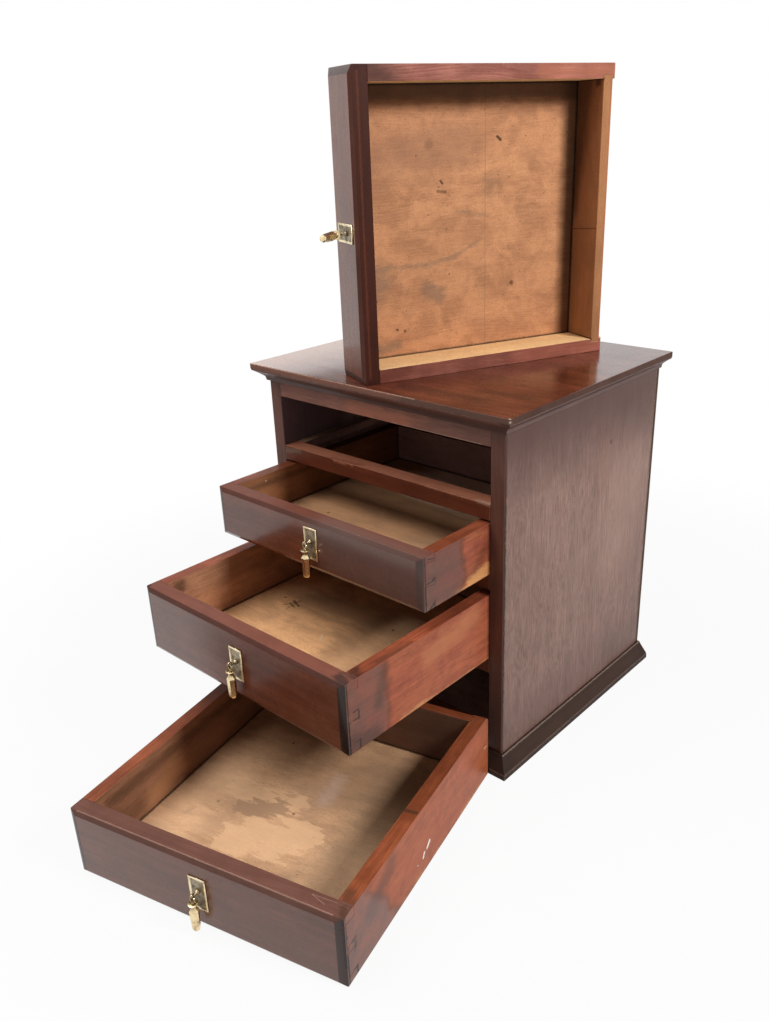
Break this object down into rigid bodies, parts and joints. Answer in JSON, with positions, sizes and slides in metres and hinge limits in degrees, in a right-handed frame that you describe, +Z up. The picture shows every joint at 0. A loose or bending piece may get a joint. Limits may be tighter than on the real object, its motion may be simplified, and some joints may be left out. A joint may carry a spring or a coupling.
{
  "type": "tabletop chest of drawers",
  "caption": "Small mahogany chest with moulded top and plinth, sliding dovetailed drawers with bevelled fronts, and brass drop pulls.",
  "frame": {"origin": "centre of the carcass on the ground, on the underside of the bottom board", "axes": "+X to the right of the chest seen from its front, +Y to its back, +Z up; the drawer fronts face -Y"},
  "size_m": [0.3718, 0.6082, 0.6318],
  "materials": {
    "carcass_mahogany": "dark polished mahogany, worn",
    "top_mahogany": "dark polished mahogany with a soft sheen",
    "rail_mahogany": "dark polished mahogany, worn",
    "inner_wood": "unpolished, dusty",
    "back_wood": "unpolished, dark",
    "drawer_front_mahogany": "dark polished mahogany with a grey sheen",
    "drawer_side_mahogany": "mahogany, thin old polish",
    "drawer_bottom_wood": "unpolished, stained",
    "plate_brass": "aged",
    "eye_brass": "aged",
    "drop_brass": "polished by handling",
    "iron_brads": "dull"
  },
  "bodies": {
    "carcass": {"side_left": "carcass_mahogany", "side_right": "carcass_mahogany", "top_board": "top_mahogany", "moulding_front": "carcass_mahogany", "moulding_left": "carcass_mahogany", "moulding_right": "carcass_mahogany", "top_rail": "rail_mahogany", "divider_rail_1": "rail_mahogany", "divider_rail_2": "rail_mahogany", "divider_rail_3": "rail_mahogany", "bottom_rail": "rail_mahogany", "bottom_board": "inner_wood", "back_board_upper": "back_wood", "back_board_lower": "back_wood", "back_brads": "iron_brads", "plinth_front": "carcass_mahogany", "plinth_left": "carcass_mahogany", "plinth_right": "carcass_mahogany", "runner_1_left": "inner_wood", "runner_1_right": "inner_wood", "runner_2_left": "inner_wood", "runner_2_right": "inner_wood", "runner_3_left": "inner_wood", "runner_3_right": "inner_wood", "runner_4_left": "inner_wood", "runner_4_right": "inner_wood"},
    "drawer_1": {"drawer_1_front": "drawer_front_mahogany", "drawer_1_side_left": "drawer_side_mahogany", "drawer_1_side_right": "drawer_side_mahogany", "drawer_1_back": "drawer_side_mahogany", "drawer_1_bottom": "drawer_bottom_wood", "pull_plate_1": "plate_brass", "pull_eye_1": "eye_brass"},
    "drop_1": {"pull_drop_1": "drop_brass"},
    "drawer_2": {"drawer_2_front": "drawer_front_mahogany", "drawer_2_side_left": "drawer_side_mahogany", "drawer_2_side_right": "drawer_side_mahogany", "drawer_2_back": "drawer_side_mahogany", "drawer_2_bottom": "drawer_bottom_wood", "pull_plate_2": "plate_brass", "pull_eye_2": "eye_brass"},
    "drop_2": {"pull_drop_2": "drop_brass"},
    "drawer_3": {"drawer_3_front": "drawer_front_mahogany", "drawer_3_side_left": "drawer_side_mahogany", "drawer_3_side_right": "drawer_side_mahogany", "drawer_3_back": "drawer_side_mahogany", "drawer_3_bottom": "drawer_bottom_wood", "pull_plate_3": "plate_brass", "pull_eye_3": "eye_brass"},
    "drop_3": {"pull_drop_3": "drop_brass"},
    "drawer_4": {"drawer_4_front": "drawer_front_mahogany", "drawer_4_side_left": "drawer_side_mahogany", "drawer_4_side_right": "drawer_side_mahogany", "drawer_4_back": "drawer_side_mahogany", "drawer_4_bottom": "drawer_bottom_wood", "pull_plate_4": "plate_brass", "pull_eye_4": "eye_brass"},
    "drop_4": {"pull_drop_4": "drop_brass"}
  },
  "joints": [
    {"name": "drawer_1_lift", "type": "slide", "parent": "carcass", "child": "drawer_1", "axis": [0, 0, 1], "range_m": [0, 0.15]},
    {"name": "drawer_2_slide", "type": "slide", "parent": "carcass", "child": "drawer_2", "axis": [0, -1, 0], "range_m": [-0.0896, 0.155]},
    {"name": "drawer_3_slide", "type": "slide", "parent": "carcass", "child": "drawer_3", "axis": [0, -1, 0], "range_m": [-0.186, 0.058]},
    {"name": "drawer_4_slide", "type": "slide", "parent": "carcass", "child": "drawer_4", "axis": [0.2429, -0.97, 0], "range_m": [0, 0.15]},
    {"name": "drop_1_swing", "type": "hinge", "parent": "drawer_1", "child": "drop_1", "pos_m": [-0.02634, -0.1444, 0.4981], "axis": [0, 0, 1], "range_deg": [-138.5, 32]},
    {"name": "drop_2_swing", "type": "hinge", "parent": "drawer_2", "child": "drop_2", "pos_m": [0, -0.2354, 0.238], "axis": [-1, 0, 0], "range_deg": [-5.5, 165]},
    {"name": "drop_3_swing", "type": "hinge", "parent": "drawer_3", "child": "drop_3", "pos_m": [0, -0.3318, 0.1578], "axis": [-1, 0, 0], "range_deg": [-5.5, 165]},
    {"name": "drop_4_swing", "type": "hinge", "parent": "drawer_4", "child": "drop_4", "pos_m": [0.08123, -0.44932, 0.0372], "axis": [-0.97, -0.2429, 0], "range_deg": [-5.5, 165]}
  ]
}
